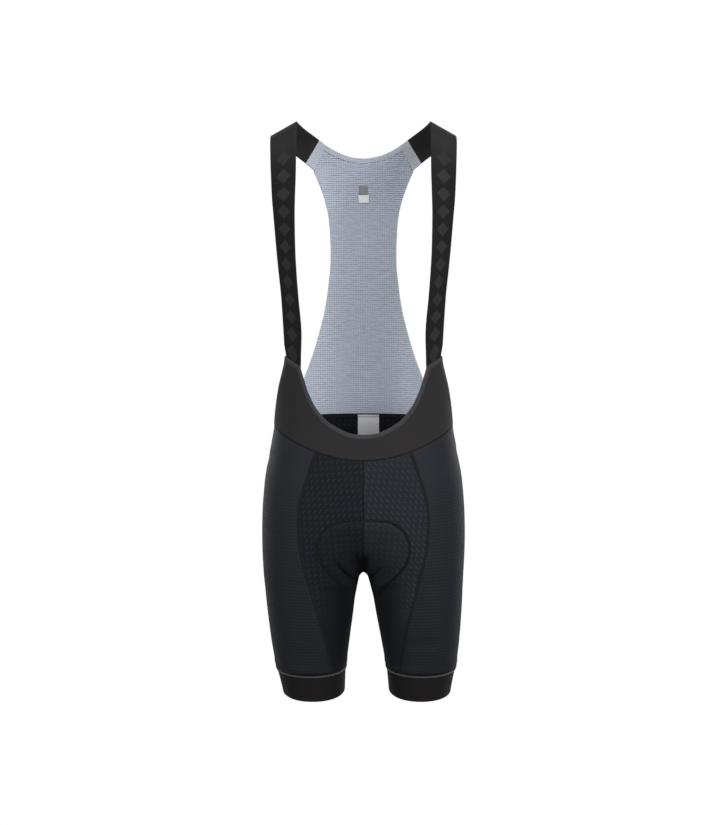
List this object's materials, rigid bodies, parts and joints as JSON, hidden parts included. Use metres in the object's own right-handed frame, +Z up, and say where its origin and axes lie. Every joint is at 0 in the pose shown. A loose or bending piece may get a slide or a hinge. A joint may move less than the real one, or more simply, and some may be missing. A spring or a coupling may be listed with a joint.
{
  "type": "cycling bib shorts",
  "caption": "Black cycling bib shorts with a grey ribbed mesh back, wide elastic straps, a deep scooped bib and wide leg grippers, kept filled out as when worn.",
  "frame": {"origin": "midway between the two straps at the height where the shoulders carry them", "axes": "+Z up, the front faces -Y, +X towards the wearer's left"},
  "size_m": [0.3338, 0.2385, 0.9389],
  "materials": {
    "dimpled_knit": "matt stretch knit with small raised scales",
    "woven_knit": "matt stretch knit with a fine dot grid",
    "gripper_elastic": "matt raw-cut elastic",
    "binding": "matt folded elastic",
    "bib_knit": "matt brushed knit",
    "strap_elastic": "matt jacquard elastic",
    "back_mesh": "ribbed open mesh",
    "doubled_mesh": "ribbed mesh laid double",
    "grey_label": "bare heat-set patch",
    "white_label": "bare heat-set patch",
    "woven_label": "bare satin-woven label",
    "pad_foam": "brushed knit over foam"
  },
  "bodies": {
    "root": {"front_panel_left": "dimpled_knit", "front_panel_right": "dimpled_knit", "side_panel_left": "woven_knit", "side_panel_right": "woven_knit", "seat_panel_left": "dimpled_knit", "seat_panel_right": "dimpled_knit", "leg_gripper_left": "gripper_elastic", "leg_gripper_right": "gripper_elastic", "bib_binding": "binding", "bib_panel": "bib_knit", "strap_left": "strap_elastic", "strap_right": "strap_elastic", "back_panel": "back_mesh", "neck_hem": "doubled_mesh", "strap_joint_left": "doubled_mesh", "strap_joint_right": "doubled_mesh", "neck_label": "grey_label", "size_label": "white_label", "waist_label": "woven_label", "seat_pad": "pad_foam"}
  },
  "joints": []
}
